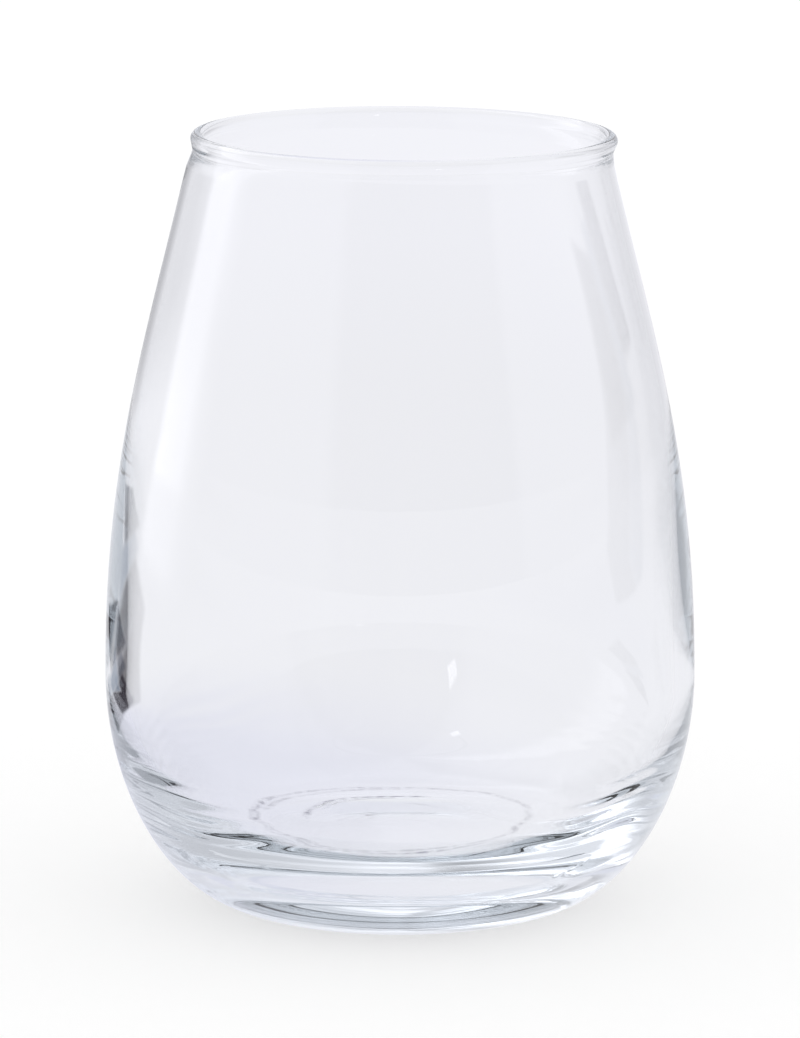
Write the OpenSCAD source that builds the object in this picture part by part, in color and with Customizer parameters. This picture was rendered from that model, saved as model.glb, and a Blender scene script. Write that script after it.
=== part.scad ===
// Stemless wine glass: one piece of clear blown glass, thick in the base and thin at the rim.
// The wall is a single outline turned about Z. It stands on the table at z = 0, with its axis on Z.

/* [Bowl] */
// Height from the table to the top of the rim
height = 115; // [95:1:150]
// Diameter of the bowl at its widest
belly_d = 87.6; // [78:0.2:110]
// Height of the widest place above the table
belly_z = 34; // [28:0.5:45]
// Wall thickness at the widest place
belly_wall = 2.9; // [1.2:0.1:4]
// Height over which the wall thins out above there, down to its thickness at the neck
taper_h = 40; // [20:1:56]

/* [Rim] */
// Diameter over the rounded bead at the rim
rim_d = 62.6; // [54:0.2:74]
// Thickness of the bead, which melted back on itself when the rim was fire polished
bead_d = 1.9; // [1.5:0.05:2.8]
// Length of the slope that runs from the bead down into the wall
bead_slope = 1.8; // [1.5:0.1:3]
// Wall thickness just under the bead
neck_wall = 1; // [0.7:0.05:1.4]
// Lean of the wall under the bead, in degrees from upright
neck_lean = 13; // [6:0.5:20]

/* [Base] */
// Diameter of the ring that the glass stands on, at its outer edge
foot_d = 45.8; // [38:0.2:60]
// Width of the flat of that ring
foot_flat = 2; // [1:0.1:4]
// Rise of the hollow under the base, from the table to its middle
hollow_rise = 1.2; // [0.4:0.1:3]
// Thickness of glass in the middle of the base, above the hollow
base_wall = 7.4; // [5:0.1:12]
// Diameter of the flat inner floor
floor_d = 41.4; // [28:0.2:50]

/* [Hidden] */
$fn = 180;

// How far each curve of the outline runs on before it turns, as shares of the span of that curve
foot_share = 0.54;
under_share = 0.51;
belly_share = 0.42;
neck_share = 0.34;
inner_floor_share = 0.5;
inner_under_share = 0.6;
// Steps in each curve
steps = 24;

belly_r = belly_d / 2;
foot_r = foot_d / 2;
floor_r = floor_d / 2;
floor_z = hollow_rise + base_wall;
bead_r = bead_d / 2;
bead_at = [rim_d / 2 - bead_r, height - bead_r];

// Directions at the neck: up along the wall, and square out of it
up_wall = [-sin(neck_lean), cos(neck_lean)];
out_wall = [cos(neck_lean), sin(neck_lean)];

// The inside of the bead is flush with the inside of the wall
neck_in = bead_at - bead_r * out_wall;
neck_out = neck_in + neck_wall * out_wall - bead_slope * up_wall;

// A point at t on the curve that leaves a towards b and reaches d from c
function curve_point(a, b, c, d, t) =
    pow(1 - t, 3) * a + 3 * t * pow(1 - t, 2) * b + 3 * t * t * (1 - t) * c + pow(t, 3) * d;

function curve(a, b, c, d) = [for (i = [0 : steps]) curve_point(a, b, c, d, i / steps)];

function backwards(points) = [for (i = [len(points) - 1 : -1 : 0]) points[i]];

// From the widest place up to the neck, arriving along the lean of the wall
function upper_curve() =
    let (span = neck_out.y - belly_z)
    curve([belly_r, belly_z],
          [belly_r, belly_z + belly_share * span],
          neck_out - neck_share * span * up_wall,
          neck_out);

// Wall thickness, measured level, at a height above the widest place
function wall_at(z) =
    let (
        neck_level = neck_wall / cos(neck_lean),
        done = min((z - belly_z) / taper_h, 1)
    )
    neck_level + (belly_wall - neck_level) * (1 - done * done * (3 - 2 * done));

// The inside of the wall follows the outside, less the thickness
function inside_of(points) = [for (p = points) p - [wall_at(p.y), 0]];

// From the standing ring out and up to the widest place
function foot_curve() =
    curve([foot_r, 0],
          [foot_r + foot_share * (belly_r - foot_r), 0],
          [belly_r, belly_z - under_share * belly_z],
          [belly_r, belly_z]);

// From the edge of the inner floor out and up to the widest place
function floor_curve(r) =
    let (rise = belly_z - floor_z)
    curve([floor_r, floor_z],
          [floor_r + inner_floor_share * (r - floor_r), floor_z],
          [r, belly_z - inner_under_share * rise],
          [r, belly_z]);

// From the middle of the hollow out to the flat of the standing ring
function hollow_curve() =
    let (edge = foot_r - foot_flat)
    curve([0, hollow_rise], [edge / 2, hollow_rise], [edge / 2, 0], [edge, 0]);

// The place on the bead where a straight line from the point p just touches it, on the outside
function touch_bead(p) =
    let (
        v = p - bead_at,
        facing = atan2(v.y, v.x),
        turn = acos(bead_r / norm(v))
    )
    bead_at + bead_r * [cos(facing + turn), sin(facing + turn)];

module outline() {
    polygon(concat(
        hollow_curve(),
        foot_curve(),
        upper_curve(),
        [touch_bead(neck_out), bead_at, neck_in],
        backwards(inside_of(upper_curve())),
        backwards(floor_curve(belly_r - belly_wall)),
        [[0, floor_z]]
    ));
    translate(bead_at)
        circle(r = bead_r);
}

module glass() {
    color([0.90, 0.93, 0.95, 0.4])
        rotate_extrude()
            outline();
}

glass();
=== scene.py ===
# %% [markdown]
# # A stemless wine glass
# The object is one piece of clear glass. It was gathered on a pipe, blown into a turning mould, cut free
# at the mouth and polished there in a flame, which left a fine round bead along the rim.
#
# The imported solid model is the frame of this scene. It says how big the glass is and where it stands,
# and everything below is made at that size, in metres.

# %% Load the frame
import math

import bmesh
import bpy
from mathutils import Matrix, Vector, noise
from mathutils.geometry import interpolate_bezier


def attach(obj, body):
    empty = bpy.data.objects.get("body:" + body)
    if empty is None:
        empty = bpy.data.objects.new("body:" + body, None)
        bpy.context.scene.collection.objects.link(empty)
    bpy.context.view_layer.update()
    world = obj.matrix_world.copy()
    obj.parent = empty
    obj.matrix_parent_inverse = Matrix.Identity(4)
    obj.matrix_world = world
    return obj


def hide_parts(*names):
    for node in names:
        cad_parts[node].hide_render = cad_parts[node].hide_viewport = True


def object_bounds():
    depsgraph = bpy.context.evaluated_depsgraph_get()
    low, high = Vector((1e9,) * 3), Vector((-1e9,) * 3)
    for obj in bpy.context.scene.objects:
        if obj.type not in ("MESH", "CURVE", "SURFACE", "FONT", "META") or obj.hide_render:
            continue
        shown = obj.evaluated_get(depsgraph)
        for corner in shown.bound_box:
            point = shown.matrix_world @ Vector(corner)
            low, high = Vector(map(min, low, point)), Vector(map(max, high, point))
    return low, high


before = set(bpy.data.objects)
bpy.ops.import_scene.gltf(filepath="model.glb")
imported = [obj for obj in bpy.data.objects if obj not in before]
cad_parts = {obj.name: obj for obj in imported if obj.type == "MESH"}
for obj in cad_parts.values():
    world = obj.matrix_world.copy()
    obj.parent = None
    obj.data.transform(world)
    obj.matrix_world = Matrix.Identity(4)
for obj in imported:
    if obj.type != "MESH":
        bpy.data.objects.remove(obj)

MM = 0.001
scene = bpy.context.scene
cad_low, cad_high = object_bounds()
print("solid model, mm:", [round(side / MM, 2) for side in cad_high - cad_low])

# %% [markdown]
# ## The outline
# A blown glass is the same all the way round, so its shape is one outline turned about its axis. The
# outline could be drawn by hand in the editor. Here it is built from the same named lengths as the
# solid model, so that the two agree to a few hundredths of a millimetre.
#
# The solid model already has this shape. The glass is still made again, because clear glass shows every
# facet of its mesh, and because the solid has none of the ripples that a real base has.

# %% Named lengths
height = cad_high.z - cad_low.z
belly_radius = (cad_high.y - cad_low.y) / 2
belly_level = 34 * MM
belly_wall = 2.9 * MM
taper_height = 40 * MM
rim_radius = 31.3 * MM
bead_radius = 0.95 * MM
bead_slope = 1.8 * MM
neck_wall = 1.0 * MM
neck_lean = math.radians(13)
foot_radius = 22.9 * MM
foot_flat = 2 * MM
hollow_rise = 1.2 * MM
floor_level = 8.6 * MM
floor_radius = 20.7 * MM
print("height and width, mm:", round(height / MM, 2), round(2 * belly_radius / MM, 2))


def at(radius, level):
    return Vector((radius, 0, level))


# %% [markdown]
# Each stretch of the outline is one cubic curve with two handles, which is what a bezier curve in the
# editor is. How far a handle runs, as a share of the curve's span, sets how full the bend is. The
# underside rises a little in the middle, so that the glass stands on a narrow ring and doesn't rock.

# %% The outside, from the middle of the underside up to the neck
FOOT_SHARE = 0.54
UNDER_SHARE = 0.51
BELLY_SHARE = 0.42
NECK_SHARE = 0.34
# how many points each curve is drawn with
UNDER_POINTS = 9
CORNER_POINTS = 37
SHOULDER_POINTS = 35

up_wall = at(-math.sin(neck_lean), math.cos(neck_lean))
out_wall = at(math.cos(neck_lean), math.sin(neck_lean))
bead_middle = at(rim_radius - bead_radius, height - bead_radius)
neck = bead_middle - out_wall * (bead_radius - neck_wall) - up_wall * bead_slope
ring_edge = foot_radius - foot_flat
span = neck.z - belly_level

under = interpolate_bezier(
    at(0, hollow_rise),
    at(ring_edge / 2, hollow_rise),
    at(ring_edge / 2, 0),
    at(ring_edge, 0),
    UNDER_POINTS,
)
corner = interpolate_bezier(
    at(foot_radius, 0),
    at(foot_radius + FOOT_SHARE * (belly_radius - foot_radius), 0),
    at(belly_radius, belly_level * (1 - UNDER_SHARE)),
    at(belly_radius, belly_level),
    CORNER_POINTS,
)
shoulder = interpolate_bezier(
    at(belly_radius, belly_level),
    at(belly_radius, belly_level + BELLY_SHARE * span),
    neck - up_wall * NECK_SHARE * span,
    neck,
    SHOULDER_POINTS,
)
print("outside points:", len(under) + len(corner) + len(shoulder))

# %% [markdown]
# The bead is the rim that melted and drew itself into a round thread, thicker than the wall under it. It
# could be a torus set on top, but a real bead is the same glass as the wall. So it is an arc of the same
# outline: it starts where a straight line from the neck just touches the round, and it ends flush with
# the inside.

# %% The bead
BEAD_POINTS = 15

to_neck = neck - bead_middle
arc_start = math.atan2(to_neck.z, to_neck.x) + math.acos(bead_radius / to_neck.length)
arc_end = math.pi + neck_lean
bead = []
for i in range(BEAD_POINTS):
    angle = arc_start + (arc_end - arc_start) * i / (BEAD_POINTS - 1)
    bead.append(bead_middle + at(math.cos(angle), math.sin(angle)) * bead_radius)
print("bead turns through, degrees:", round(math.degrees(arc_end - arc_start)))

# %% [markdown]
# Glass is drawn thin as it is blown: about 3 mm at the belly and 1 mm at the neck. The inside of the wall
# is the outside moved in by that thickness. Lower down, the inside leaves the outside and runs into an
# almost flat floor, and the mass of glass between the two is what makes the base heavy and bright.

# %% The inside, from the neck down to the middle of the floor
INNER_FLOOR_SHARE = 0.5
INNER_UNDER_SHARE = 0.6
BASIN_POINTS = 111
# the floor's rows of vertices run close together where the tool marks are
FINE_ROW = 0.1 * MM
COARSE_ROW = 0.5 * MM
LAST_ROW = 1.0 * MM
FINE_ZONES = [(11.0 * MM, 17.0 * MM), (18.0 * MM, floor_radius)]


def smooth_step(low, high, value):
    share = min(max((value - low) / (high - low), 0.0), 1.0)
    return share * share * (3 - 2 * share)


def wall_at(level):
    level_neck_wall = neck_wall / math.cos(neck_lean)
    thinned = smooth_step(belly_level, belly_level + taper_height, level)
    return level_neck_wall + (belly_wall - level_neck_wall) * (1 - thinned)


inner_wall = [point - at(wall_at(point.z), 0) for point in reversed(shoulder)]
inner_radius = belly_radius - belly_wall
basin = interpolate_bezier(
    at(inner_radius, belly_level),
    at(inner_radius, belly_level - INNER_UNDER_SHARE * (belly_level - floor_level)),
    at(floor_radius + INNER_FLOOR_SHARE * (inner_radius - floor_radius), floor_level),
    at(floor_radius, floor_level),
    BASIN_POINTS,
)
floor_rows = []
radius = floor_radius
while radius > LAST_ROW:
    in_fine_zone = any(low < radius < high for low, high in FINE_ZONES)
    radius -= FINE_ROW if in_fine_zone else COARSE_ROW
    floor_rows.append(at(radius, floor_level))
floor_rows.append(at(0, floor_level))
print("inside points:", len(inner_wall) + len(basin) + len(floor_rows))

# %% [markdown]
# ## Turning the outline
# The spin operator sweeps the chain of edges round the axis. With use_merge the last step joins the
# first one, and merging doubles then closes the two poles. A spin can leave a shape inside out, so the
# normals are worked out again once the doubles are gone. The vertices of the inside are tagged first,
# because only they are changed below.

# %% Spin the glass
TURNS = 256
SAME_PLACE = 0.002 * MM

glass_mesh = bmesh.new()
inside_tag = glass_mesh.verts.layers.float.new("inside")
outer_line = under + corner + shoulder[1:] + bead
inner_line = inner_wall + basin[1:] + floor_rows
chain = [glass_mesh.verts.new(point) for point in outer_line + inner_line]
for vertex in chain[len(outer_line):]:
    vertex[inside_tag] = 1.0
links = [glass_mesh.edges.new(pair) for pair in zip(chain, chain[1:])]
bmesh.ops.spin(
    glass_mesh,
    geom=chain + links,
    cent=(0, 0, 0),
    axis=(0, 0, 1),
    dvec=(0, 0, 0),
    angle=math.tau,
    steps=TURNS,
    use_merge=True,
    use_duplicate=False,
)
bmesh.ops.remove_doubles(glass_mesh, verts=glass_mesh.verts, dist=SAME_PLACE)
bmesh.ops.recalc_face_normals(glass_mesh, faces=glass_mesh.faces)
glass_mesh.normal_update()
open_edges = sum(edge.is_boundary for edge in glass_mesh.edges)
print("vertices, faces, open edges:", len(glass_mesh.verts), len(glass_mesh.faces), open_edges)

# %% [markdown]
# ## The inside of a blown base
# The outside was pressed smooth by the mould, but the inside was shaped by air, so it keeps slow swells
# from the blowing. They are too shallow to notice by touch, and yet they bend everything seen through the
# base into streaks. A bump map bends light too, but it leaves the surface where it is, and the mesh that
# is exported would be smooth. So the vertices themselves move along their normals, by smooth noise read
# at each vertex's own place.
#
# In this glass the swells are deepest left and right and the front and back are calm, so their strength
# grows with the distance to the side. Finer ripples run along the wall above the floor. Both die out
# higher up, where the wall was stretched thin and smooth.

# %% Swells and ripples
SWELL = 0.17 * MM
SWELL_SCALE = 90.0
RIPPLE = 0.035 * MM
RIPPLE_LENGTH = 2.6 * MM
RIPPLE_UP = 0.8
RIPPLE_OUT = 0.6
RIPPLE_FROM = 10 * MM
RIPPLE_TO = 16 * MM
CALM_X = 16 * MM
WAVY_X = 38 * MM
CALM_SHARE = 0.15
STILL_MIDDLE = 2 * MM
STILL_EDGE = 12 * MM
FADE_FROM = 19 * MM
FADE_TO = 28 * MM
WANDER = 5.0
WANDER_SCALE = 60.0
WANDER_PLACE = Vector((3.1, 7.7, 1.9))
PATCH_SCALE = 45.0
PATCH_PLACE = Vector((9.0, 2.0, 4.0))


def sideways(place):
    return CALM_SHARE + (1 - CALM_SHARE) * smooth_step(CALM_X, WAVY_X, abs(place.x))


def swell(place):
    off_middle = smooth_step(STILL_MIDDLE, STILL_EDGE, math.hypot(place.x, place.y))
    return noise.noise(place * SWELL_SCALE) * SWELL * sideways(place) * off_middle


def ripple(place):
    along = RIPPLE_UP * place.z + RIPPLE_OUT * math.hypot(place.x, place.y)
    wander = WANDER * noise.noise(place * WANDER_SCALE + WANDER_PLACE)
    patchy = 1.0 + noise.noise(place * PATCH_SCALE + PATCH_PLACE)
    above_floor = smooth_step(RIPPLE_FROM, RIPPLE_TO, place.z)
    wave = math.sin(math.tau * along / RIPPLE_LENGTH + wander)
    return wave * RIPPLE * patchy * above_floor * sideways(place)


def fade_up(place):
    return 1 - smooth_step(FADE_FROM, FADE_TO, place.z)


print("ripples up the wall, about:", round((FADE_TO - RIPPLE_FROM) * RIPPLE_UP / RIPPLE_LENGTH, 1))


# %% [markdown]
# The floor also has marks, as a tool leaves that steadies the soft base: one ring round the floor, and
# shorter arcs within it and beside it. They are fine ridges, about a tenth of a millimetre tall, broken
# up by the texture of the tool. The rows of the mesh lie closer together where they run, so that the mesh
# can carry them.

# %% Ridges on the floor
# centre x, centre y and radius in mm, middle and half of the sweep in degrees from the front with left
# positive, and height in mm
MARKS = [
    (-1.5, -2.6, 21.6, 0, 360, 0.10),
    (-1.2, -4.0, 21.9, 4, 50, 0.14),
    (-1.8, -2.4, 20.9, 84, 46, 0.14),
    (0.9, -4.0, 22.2, 142, 50, 0.08),
    (0.2, -2.6, 14.6, 140, 62, 0.14),
    (0.6, -2.6, 13.6, 150, 44, 0.08),
    (0.2, -2.6, 9.0, -148, 36, 0.08),
    (0.2, -2.6, 5.0, 95, 40, 0.08),
]
TALLEST = max(mark[-1] for mark in MARKS)
MARK_WIDTH = 0.28 * MM
MARK_FADE = 12
MARKS_TOP = floor_level + 2 * MM
WOBBLE = 0.35 * MM
WOBBLE_SCALE = 160.0
FUZZ = 0.9
FUZZ_LEVEL = 0.55
FUZZ_LEAST = 0.1
FUZZ_SCALE = 700.0


def ridge(place):
    wobble = noise.noise(place * WOBBLE_SCALE) * WOBBLE
    fuzz = max(FUZZ_LEVEL + FUZZ * noise.noise(place * FUZZ_SCALE), FUZZ_LEAST)
    total = 0.0
    for centre_x, centre_y, mark_radius, middle, half, tall in MARKS:
        x = place.x - centre_x * MM
        y = place.y - centre_y * MM
        off = (math.hypot(x, y) + wobble - mark_radius * MM) / MARK_WIDTH
        angle = math.degrees(math.atan2(-x, -y))
        away = abs((angle - middle + 180) % 360 - 180)
        fade = 1 - smooth_step(half - MARK_FADE, half, away)
        total += math.exp(-off * off) * tall * MM * fade * fuzz
    return total


# %% Move the inside
inside_tag = glass_mesh.verts.layers.float["inside"]
moves = []
for vertex in glass_mesh.verts:
    if not vertex[inside_tag]:
        continue
    amount = (swell(vertex.co) + ripple(vertex.co)) * fade_up(vertex.co)
    if vertex.co.z < MARKS_TOP:
        amount += ridge(vertex.co)
    moves.append((vertex, vertex.normal * amount))
for vertex, move in moves:
    vertex.co += move
print("deepest move, mm:", round(max(move.length for vertex, move in moves) / MM, 3))

# %% [markdown]
# A rim that was polished by hand is never quite true. This one sits a little to the right of the axis
# and is a touch lower on that side. The vertices near the top are moved by amounts that fade out down
# the neck.

# %% Settle the rim
RIM_SHIFT = 0.6 * MM
RIM_DROP = 0.45 * MM
RIM_FADE = 6 * MM

for vertex in glass_mesh.verts:
    near_rim = smooth_step(height - RIM_FADE, height - bead_radius, vertex.co.z)
    lower_side = 0.5 + 0.5 * vertex.co.x / rim_radius
    vertex.co.x += RIM_SHIFT * near_rim
    vertex.co.z -= RIM_DROP * near_rim * lower_side
for face in glass_mesh.faces:
    face.smooth = True

mesh = bpy.data.meshes.new("wine_glass")
glass_mesh.to_mesh(mesh)
glass_mesh.free()
glass = bpy.data.objects.new("wine_glass", mesh)
scene.collection.objects.link(glass)
print("glass, mm:", [round(side / MM, 2) for side in glass.dimensions])

# %% [markdown]
# ## Small helpers for nodes
# The materials below are small sums on places, directions and colours. Typing out each node would bury
# the sums, so each helper here adds one node, joins its inputs, which may be plain values or the outputs
# of other nodes, and hands back its output. A ramp here is a Map Range node with eased ends.

# %% Node helpers
def join(tree, value, socket):
    if isinstance(value, bpy.types.NodeSocket):
        tree.links.new(value, socket)
    else:
        socket.default_value = value


def add_math(tree, operation, first, second=0.0):
    node = tree.nodes.new("ShaderNodeMath")
    node.operation = operation
    join(tree, first, node.inputs[0])
    join(tree, second, node.inputs[1])
    return node.outputs["Value"]


def add_ramp(tree, value, start, end, first, last):
    node = tree.nodes.new("ShaderNodeMapRange")
    node.interpolation_type = "SMOOTHSTEP"
    join(tree, value, node.inputs["Value"])
    join(tree, start, node.inputs["From Min"])
    join(tree, end, node.inputs["From Max"])
    join(tree, first, node.inputs["To Min"])
    join(tree, last, node.inputs["To Max"])
    return node.outputs["Result"]


def add_vector(tree, operation, first, second, output):
    node = tree.nodes.new("ShaderNodeVectorMath")
    node.operation = operation
    join(tree, first, node.inputs[0])
    join(tree, second, node.inputs[1])
    return node.outputs[output]


def add_mix(tree, share, first, second):
    node = tree.nodes.new("ShaderNodeMix")
    node.data_type = "RGBA"
    first_colour, second_colour = [socket for socket in node.inputs if socket.type == "RGBA"]
    join(tree, share, node.inputs["Factor"])
    join(tree, first, first_colour)
    join(tree, second, second_colour)
    return [socket for socket in node.outputs if socket.type == "RGBA"][0]


def add_split(tree, vector):
    node = tree.nodes.new("ShaderNodeSeparateXYZ")
    tree.links.new(vector, node.inputs["Vector"])
    return node


def add_noise(tree, place, scale):
    node = tree.nodes.new("ShaderNodeTexNoise")
    node.inputs["Scale"].default_value = scale
    tree.links.new(place, node.inputs["Vector"])
    return node.outputs["Fac"]


def add_group(tree, group, source, entry):
    node = tree.nodes.new("ShaderNodeGroup")
    node.node_tree = group
    tree.links.new(source, node.inputs[entry])
    return node


def new_group(name, inputs, output):
    tree = bpy.data.node_groups.new(name, "ShaderNodeTree")
    for socket_name, kind in inputs:
        tree.interface.new_socket(socket_name, in_out="INPUT", socket_type=kind)
    tree.interface.new_socket(output, in_out="OUTPUT", socket_type="NodeSocketFloat")
    return tree, tree.nodes.new("NodeGroupInput"), tree.nodes.new("NodeGroupOutput")


helpers = (add_math, add_ramp, add_vector, add_mix, add_split, add_noise, add_group, new_group)
print("helpers:", [helper.__name__ for helper in helpers])


# %% [markdown]
# ## The tool mark as a mask
# Where the tool touched, the skin of the glass is also slightly dull, and the material paints it darker:
# that grey is painted shade, standing for the dark lines that the ridges draw in the base. One node group
# draws such a line as a mask: it is 1 on a circle about a centre and 0 away from it, it wanders, it is
# broken up by fine noise, and it covers only part of the turn. The material uses it once for each ridge
# above, with the same numbers.

# %% Build the mask
tool_mark, given, result = new_group(
    "tool_mark",
    [
        ("Position", "NodeSocketVector"),
        ("Centre", "NodeSocketVector"),
        ("Facing", "NodeSocketVector"),
        ("Radius", "NodeSocketFloat"),
        ("Width", "NodeSocketFloat"),
        ("Reach", "NodeSocketFloat"),
        ("Lowest", "NodeSocketFloat"),
        ("Strength", "NodeSocketFloat"),
    ],
    "Mask",
)
MASK_WOBBLE = 0.5 * MM
REACH_FADE = 0.2
FUZZ_FROM = 0.38
FUZZ_TO = 0.58
FUZZ_FAINTEST = 0.3
MARK_PATCH_SCALE = 130.0
PATCH_FROM = 0.40
PATCH_TO = 0.60
PATCH_FAINTEST = 0.5

position = given.outputs["Position"]
split = add_split(tool_mark, position)
flat = add_vector(tool_mark, "MULTIPLY", position, (1, 1, 0), "Vector")
from_centre = add_vector(tool_mark, "SUBTRACT", flat, given.outputs["Centre"], "Vector")
distance = add_vector(tool_mark, "LENGTH", from_centre, (0, 0, 0), "Value")
either_way = add_math(tool_mark, "SUBTRACT", add_noise(tool_mark, position, WOBBLE_SCALE), 0.5)
wobble = add_math(tool_mark, "MULTIPLY", either_way, MASK_WOBBLE)
wandered = add_math(tool_mark, "ADD", distance, wobble)
off_line = add_math(tool_mark, "SUBTRACT", wandered, given.outputs["Radius"])
beside_line = add_math(tool_mark, "ABSOLUTE", off_line)
line = add_ramp(tool_mark, beside_line, 0.0, given.outputs["Width"], 1.0, 0.0)

towards = add_vector(tool_mark, "NORMALIZE", from_centre, (0, 0, 0), "Vector")
cosine = add_vector(tool_mark, "DOT_PRODUCT", towards, given.outputs["Facing"], "Value")
full_reach = add_math(tool_mark, "ADD", given.outputs["Reach"], REACH_FADE)
sweep = add_ramp(tool_mark, cosine, given.outputs["Reach"], full_reach, 0.0, 1.0)
fuzz = add_noise(tool_mark, position, FUZZ_SCALE)
broken = add_ramp(tool_mark, fuzz, FUZZ_FROM, FUZZ_TO, FUZZ_FAINTEST, 1.0)
patch = add_noise(tool_mark, position, MARK_PATCH_SCALE)
patches = add_ramp(tool_mark, patch, PATCH_FROM, PATCH_TO, PATCH_FAINTEST, 1.0)
inside_only = add_math(tool_mark, "GREATER_THAN", split.outputs["Z"], given.outputs["Lowest"])
mask = line
for part in (sweep, broken, patches, given.outputs["Strength"], inside_only):
    mask = add_math(tool_mark, "MULTIPLY", mask, part)
tool_mark.links.new(mask, result.inputs["Mask"])
print("mask nodes:", len(tool_mark.nodes))

# %% [markdown]
# ## Clear glass
# Soda-lime glass has a refractive index of 1.51 and is almost without colour, but not quite: light that
# runs a long way along the wall comes out blue-grey, which is why the edge of a glass looks darker than
# its face. A tint on the surface would colour every ray alike. Absorption inside the volume grows with
# the path, so the thin rim stays clear and the thick base picks up the tint.

# %% Glass material
REFRACTIVE_INDEX = 1.51
ABSORPTION = 3.0
ABSORPTION_TINT = (0.25, 0.40, 0.50, 1)
clear_glass = bpy.data.materials.new("clear_glass")
clear_glass.use_nodes = True
tree = clear_glass.node_tree
shader = tree.nodes["Principled BSDF"]
shader.inputs["IOR"].default_value = REFRACTIVE_INDEX
shader.inputs["Transmission Weight"].default_value = 1.0
soak = tree.nodes.new("ShaderNodeVolumeAbsorption")
soak.inputs["Color"].default_value = ABSORPTION_TINT
soak.inputs["Density"].default_value = ABSORPTION
tree.links.new(soak.outputs["Volume"], tree.nodes["Material Output"].inputs["Volume"])

print("absorption density:", ABSORPTION)

# %% [markdown]
# The marks are laid over the clear surface one by one, each with the numbers of its own ridge, and the
# strongest wins where two cross. The mask then darkens the colour, as painted shade for the dark lines
# of the ridges, and dulls the polish.

# %% Lay the marks on the glass
CLEAR = (1, 1, 1, 1)
# painted shade: the glass is coloured dark along the marks, in place of the dark lines the ridges draw
PAINTED_LINE_SHADE = (0.10, 0.09, 0.14, 1)
MARK_ROUGHNESS = 0.2
MASK_WIDTH = 1.1 * MM
MASK_BOTTOM = floor_level - 1 * MM
HALF_TURN = 180


def reach_of(half):
    if half >= HALF_TURN:
        return -1 - REACH_FADE
    return math.cos(math.radians(half))


place = tree.nodes.new("ShaderNodeTexCoord")
dulled_and_painted_dark = 0.0
for centre_x, centre_y, mark_radius, middle, half, tall in MARKS:
    turn = math.radians(middle)
    settings = {
        "Centre": (centre_x * MM, centre_y * MM, 0),
        "Facing": (-math.sin(turn), -math.cos(turn), 0),
        "Radius": mark_radius * MM,
        "Width": MASK_WIDTH,
        "Reach": reach_of(half),
        "Lowest": MASK_BOTTOM,
        "Strength": tall / TALLEST,
    }
    one_mark = add_group(tree, tool_mark, place.outputs["Object"], "Position")
    for name, value in settings.items():
        one_mark.inputs[name].default_value = value
    dulled_and_painted_dark = add_math(tree, "MAXIMUM", one_mark.outputs["Mask"], dulled_and_painted_dark)

# the darker colour along the marks is painted shade; the roughness is the dull skin of the glass
tree.links.new(add_mix(tree, dulled_and_painted_dark, CLEAR, PAINTED_LINE_SHADE), shader.inputs["Base Color"])
tree.links.new(add_math(tree, "MULTIPLY", dulled_and_painted_dark, MARK_ROUGHNESS), shader.inputs["Roughness"])

mesh.materials.append(clear_glass)
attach(glass, "root")
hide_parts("glass")
print("materials on the glass:", [material.name for material in mesh.materials])

# %% [markdown]
# ## A studio for clear glass
# Clear glass shows nothing but what stands round it, so its picture is made by the room. A photographer
# stands it before white and lays out panels and cards whose edges the glass draws as lines. The panels
# could be lamps with real sizes, but small lamps seen through glass are slow and noisy to render. Here
# one node group gives the brightness that comes from each direction, and the world and the table share it.

# %% [markdown]
# A few cards are painted on the table, most of them dark and one as bright as a lamp. They show only in
# reflected light, so they are painted reflections: dark patches and a highlight. A card is a rectangle
# with soft edges, so one node group makes them all as masks. It asks only for a place and for the four
# edges.

# %% A soft-edged card
CARD_EDGES = ("Left", "Right", "Near", "Far", "Softness")

soft_card, given, result = new_group(
    "soft_card",
    [("Position", "NodeSocketVector")] + [(name, "NodeSocketFloat") for name in CARD_EDGES],
    "Mask",
)
split = add_split(soft_card, given.outputs["Position"])
mask = 1.0
for axis, edge_name, inner, outer in (
    ("X", "Left", 0.0, 1.0),
    ("X", "Right", 1.0, 0.0),
    ("Y", "Near", 0.0, 1.0),
    ("Y", "Far", 1.0, 0.0),
):
    edge = given.outputs[edge_name]
    start = add_math(soft_card, "SUBTRACT", edge, given.outputs["Softness"])
    end = add_math(soft_card, "ADD", edge, given.outputs["Softness"])
    side = add_ramp(soft_card, split.outputs[axis], start, end, inner, outer)
    mask = add_math(soft_card, "MULTIPLY", side, mask)
soft_card.links.new(mask, result.inputs["Mask"])
print("card nodes:", len(soft_card.nodes))

# %% [markdown]
# The panels stand in a ring round the glass: a pale wall behind it with grey strips in it, two broad grey
# ones at the sides, a narrow bright strip on the left behind, and a darker front round the camera. One
# colour ramp holds them all, read by the angle round the glass. High up they brighten into a ceiling.

# %% The lit panels round the glass
# degrees round from the front, left positive, and brightness
PANELS = [
    (-180, 0.9),
    (-172, 0.92),
    (-166, 0.82),
    (-150, 0.72),
    (-130, 0.64),
    (-106, 0.64),
    (-98, 0.76),
    (-52, 0.66),
    (-48, 0.4),
    (26, 0.4),
    (33, 0.66),
    (88, 0.72),
    (96, 0.95),
    (103, 1.5),
    (119, 1.65),
    (123, 0.92),
    (146, 0.88),
    (152, 0.72),
    (158, 0.56),
    (165, 0.46),
    (170, 0.62),
    (174, 0.9),
]
# a colour ramp holds values up to 1, so the panels are stored as shares of this
BRIGHTEST = 3.0
CEILING = 1.5
CEILING_FROM = 0.35
CEILING_TO = 0.85

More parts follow.
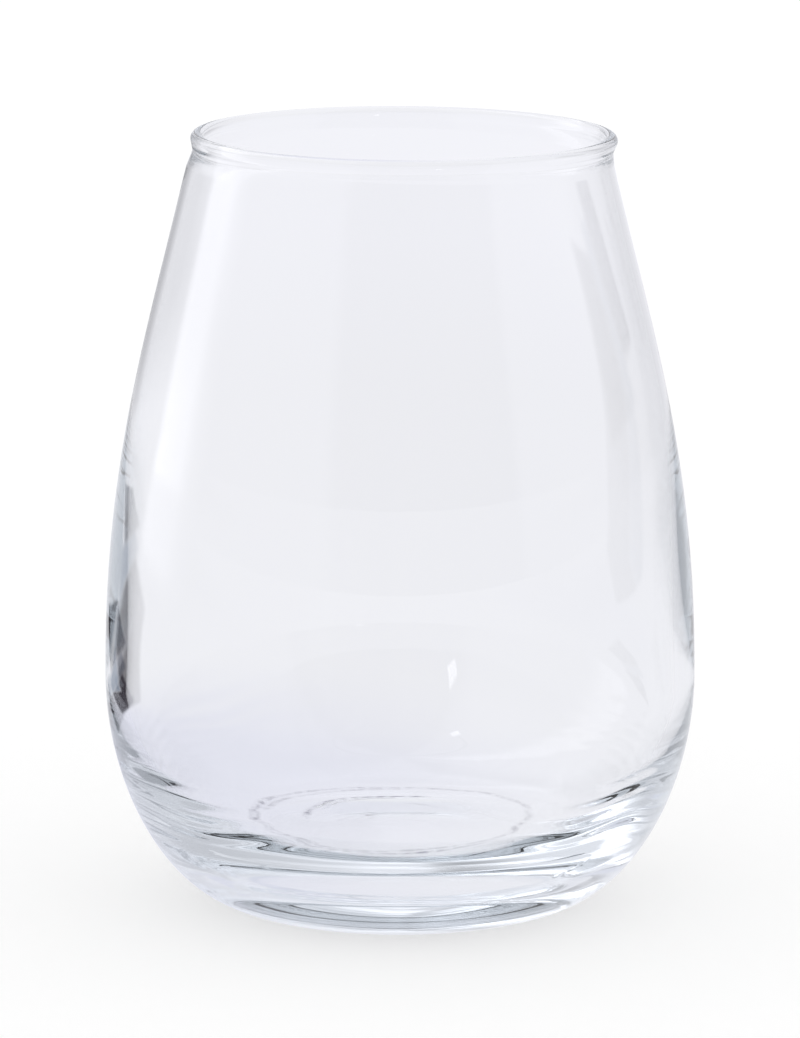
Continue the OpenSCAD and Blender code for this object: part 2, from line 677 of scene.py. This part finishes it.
studio_panels, given, result = new_group(
    "studio_panels", [("Direction", "NodeSocketVector")], "Brightness"
)
unit = add_vector(studio_panels, "NORMALIZE", given.outputs["Direction"], (0, 0, 0), "Vector")
split = add_split(studio_panels, unit)
leftward = add_math(studio_panels, "MULTIPLY", split.outputs["X"], -1.0)
frontward = add_math(studio_panels, "MULTIPLY", split.outputs["Y"], -1.0)
turn = add_math(studio_panels, "ARCTAN2", leftward, frontward)
turn_share = add_math(studio_panels, "ADD", add_math(studio_panels, "DIVIDE", turn, math.tau), 0.5)
ring = studio_panels.nodes.new("ShaderNodeValToRGB")
stops = ring.color_ramp.elements
stops.remove(stops[0])
stops[0].position = 0.0
for degrees, brightness in PANELS:
    turned = (degrees + 180) / 360
    stop = stops[0] if turned == 0 else stops.new(turned)
    grey = brightness / BRIGHTEST
    stop.color = (grey, grey, grey, 1)
studio_panels.links.new(turn_share, ring.inputs["Fac"])
overhead = add_ramp(
    studio_panels, split.outputs["Z"], CEILING_FROM, CEILING_TO, BRIGHTEST, BRIGHTEST * CEILING
)
lit_panels = add_math(studio_panels, "MULTIPLY", ring.outputs["Color"], overhead)
studio_panels.links.new(lit_panels, result.inputs["Brightness"])
print("panel edges:", len(stops))

# %% [markdown]
# ## The table
# To the camera the table is plain white and keeps the faint shadow of the glass: a diffuse grey that
# the light of the room falls on, plus a steady lift. To rays that have gone through the glass or bounced
# off it, it shows a grey table instead, so that the glass has something to draw. The Light Path node
# tells the two kinds of ray apart.
#
# That grey table has three tones: a cool darker one by the foot, which is a painted shadow of the glass,
# a paler one farther out, and the panels of the room where it is so far off that a real table would end.
# In front it keeps the pale tone, so that no hard band shows near the rim when the glass is seen from
# behind.
#
# The cards are painted on it. At the left edge of the glass, light that has bounced along inside the wall
# shows the grey card and under it the dark ones, as a painted dark reflection. The small bright card in
# front makes the kite of light low on the bowl, a painted highlight. Seen straight through the glass,
# from another side, the same cards would be grey slabs. So they show only in light that has been
# reflected at least once, which Light Path counts as glossy depth.

# %% What the glass sees of the table
TINT = (1.0, 1.005, 1.06)
# the cool tone by the foot is a painted shadow of the glass, seen only by rays through or off the glass
PAINTED_SHADOW_TONE = (0.77, 0.775, 0.825, 1)
PAINTED_SHADOW_CENTRE = (-0.06, 0.03, 0)
PAINTED_SHADOW_INNER = 0.04
PAINTED_SHADOW_OUTER = 0.105
MIDDLE_TONE = (0.88, 0.88, 0.87, 1)
ROOM_FROM = 0.40
ROOM_TO = 0.75
FRONT_EDGE = -0.4
FRONT_START = 0.0

table_look = bpy.data.materials.new("table")
table_look.use_nodes = True
tree = table_look.node_tree
tree.nodes.clear()
spot = tree.nodes.new("ShaderNodeTexCoord").outputs["Object"]
from_shadow_centre = add_vector(tree, "DISTANCE", spot, PAINTED_SHADOW_CENTRE, "Value")
# painted shadow: the table is darker near the foot and paler farther out
away = add_ramp(tree, from_shadow_centre, PAINTED_SHADOW_INNER, PAINTED_SHADOW_OUTER, 0.0, 1.0)
distance = add_vector(tree, "LENGTH", spot, (0, 0, 0), "Value")
far_off = add_ramp(tree, distance, ROOM_FROM, ROOM_TO, 0.0, 1.0)
not_in_front = add_ramp(tree, add_split(tree, spot).outputs["Y"], FRONT_EDGE, FRONT_START, 0.0, 1.0)
room_share = add_math(tree, "MULTIPLY", far_off, not_in_front)
room = add_group(tree, studio_panels, spot, "Direction")
table_and_painted_shadow = add_mix(tree, away, PAINTED_SHADOW_TONE, MIDDLE_TONE)
drawn = add_mix(tree, room_share, table_and_painted_shadow, room.outputs["Brightness"])
drawn = add_vector(tree, "MULTIPLY", drawn, TINT, "Vector")
print("table nodes so far:", len(tree.nodes))

# %% Lay the cards on it
# painted reflections: grey and dark patches and one bright highlight, seen only in light off the glass
GREY_REFLECTION_TONE = (0.28, 0.32, 0.39, 1)
DARK_REFLECTION_TONE = (0.04, 0.035, 0.045, 1)
PAINTED_HIGHLIGHT_TONE = (4.0, 4.0, 4.2, 1)
# left, right, near and far edges and softness in metres, and the tone
PAINTED_REFLECTION_CARDS = [
    ((-0.175, -0.088, 0.117, 0.142, 0.005), GREY_REFLECTION_TONE),
    ((-0.200, -0.112, 0.142, 0.218, 0.005), DARK_REFLECTION_TONE),
    ((-0.160, -0.086, 0.070, 0.117, 0.004), DARK_REFLECTION_TONE),
    ((0.056, 0.066, -0.184, -0.176, 0.001), PAINTED_HIGHLIGHT_TONE),
]

rays = tree.nodes.new("ShaderNodeLightPath")
reflected = add_math(tree, "MINIMUM", rays.outputs["Glossy Depth"], 1.0)
for edges, tone in PAINTED_REFLECTION_CARDS:
    card = add_group(tree, soft_card, spot, "Position")
    for name, value in zip(CARD_EDGES, edges):
        card.inputs[name].default_value = value
    # only reflected rays see a card, so each is a painted reflection
    shown = add_math(tree, "MULTIPLY", card.outputs["Mask"], reflected)
    drawn = add_mix(tree, shown, drawn, tone)
print("cards on the table:", len(PAINTED_REFLECTION_CARDS))

# %% Put the table together
TABLE_GREY = 0.42
TABLE_LIFT = 0.60


def show(tree, plain, in_glass, output_kind):
    rays = tree.nodes.new("ShaderNodeLightPath")
    glossy, passed = rays.outputs["Is Glossy Ray"], rays.outputs["Is Transmission Ray"]
    by_glass = add_math(tree, "MAXIMUM", glossy, passed)
    choice = tree.nodes.new("ShaderNodeMixShader")
    tree.links.new(by_glass, choice.inputs["Fac"])
    tree.links.new(plain, choice.inputs[1])
    tree.links.new(in_glass, choice.inputs[2])
    output = tree.nodes.new(output_kind)
    tree.links.new(choice.outputs["Shader"], output.inputs["Surface"])


lit = tree.nodes.new("ShaderNodeBsdfDiffuse")
lit.inputs["Color"].default_value = (TABLE_GREY, TABLE_GREY, TABLE_GREY, 1)
lift = tree.nodes.new("ShaderNodeEmission")
lift.inputs["Strength"].default_value = TABLE_LIFT
seen_plain = tree.nodes.new("ShaderNodeAddShader")
tree.links.new(lit.outputs["BSDF"], seen_plain.inputs[0])
tree.links.new(lift.outputs["Emission"], seen_plain.inputs[1])
seen_in_glass = tree.nodes.new("ShaderNodeEmission")
tree.links.new(drawn, seen_in_glass.inputs["Color"])
show(tree, seen_plain.outputs["Shader"], seen_in_glass.outputs["Emission"], "ShaderNodeOutputMaterial")

TABLE_RADIUS = 6.0
TABLE_SIDES = 96

table_round = bmesh.new()
bmesh.ops.create_circle(table_round, cap_ends=True, segments=TABLE_SIDES, radius=TABLE_RADIUS)
table_mesh = bpy.data.meshes.new("table")
table_round.to_mesh(table_mesh)
table_round.free()
table_mesh.materials.append(table_look)
table = bpy.data.objects.new("table", table_mesh)
scene.collection.objects.link(table)
print("table radius, m:", TABLE_RADIUS)

# %% [markdown]
# ## The room
# The world is plain white for the camera and for the light that falls on the table, and it is the panels
# for the glass. A strength of 1 is white.

# %% World
world = bpy.data.worlds.new("studio")
world.use_nodes = True
scene.world = world
tree = world.node_tree
tree.nodes.clear()
plain = tree.nodes.new("ShaderNodeBackground")
plain.inputs["Color"].default_value = (1, 1, 1, 1)
panels = tree.nodes.new("ShaderNodeBackground")
panels.inputs["Color"].default_value = (*TINT, 1)
direction = tree.nodes.new("ShaderNodeTexCoord").outputs["Generated"]
room = add_group(tree, studio_panels, direction, "Direction")
tree.links.new(room.outputs["Brightness"], panels.inputs["Strength"])
show(tree, plain.outputs["Background"], panels.outputs["Background"], "ShaderNodeOutputWorld")
scene.view_settings.view_transform = "Standard"
print("world nodes:", len(tree.nodes))

# %% [markdown]
# Light that gets caught inside a glass wall bounces on and on, as in a light guide. With the usual limit
# of a dozen bounces it is cut off, and the base comes out black. A higher limit lets it find its way out,
# and leaves only the thin dark lines that a real base shows.

# %% Bounces
BOUNCES = 52

scene.cycles.max_bounces = BOUNCES
scene.cycles.transmission_bounces = BOUNCES
scene.cycles.glossy_bounces = BOUNCES
print("bounces:", scene.cycles.max_bounces)

# %% [markdown]
# ## The camera
# The picture was taken from just under a metre away, looking down by eleven degrees, which is what the
# ellipse of the rim and the curve of the base tell. The focal length comes from the height of the glass
# in the picture.

# %% Camera
DISTANCE = 0.930
PITCH = math.radians(10.97)
AIM = 57.1 * MM
FOCAL_PIXELS = 6279
PHOTO_HEIGHT = 1038
SENSOR = 36
NEAREST_SEEN = 0.01

lens = bpy.data.cameras.new("camera")
lens.sensor_width = SENSOR
lens.lens = FOCAL_PIXELS / PHOTO_HEIGHT * SENSOR
lens.clip_start = NEAREST_SEEN
camera = bpy.data.objects.new("camera", lens)
camera.location = (0, -DISTANCE * math.cos(PITCH), AIM + DISTANCE * math.sin(PITCH))
camera.rotation_euler = (math.pi / 2 - PITCH, 0, 0)
scene.collection.objects.link(camera)
scene.camera = camera
print("focal length, mm:", round(lens.lens, 1))
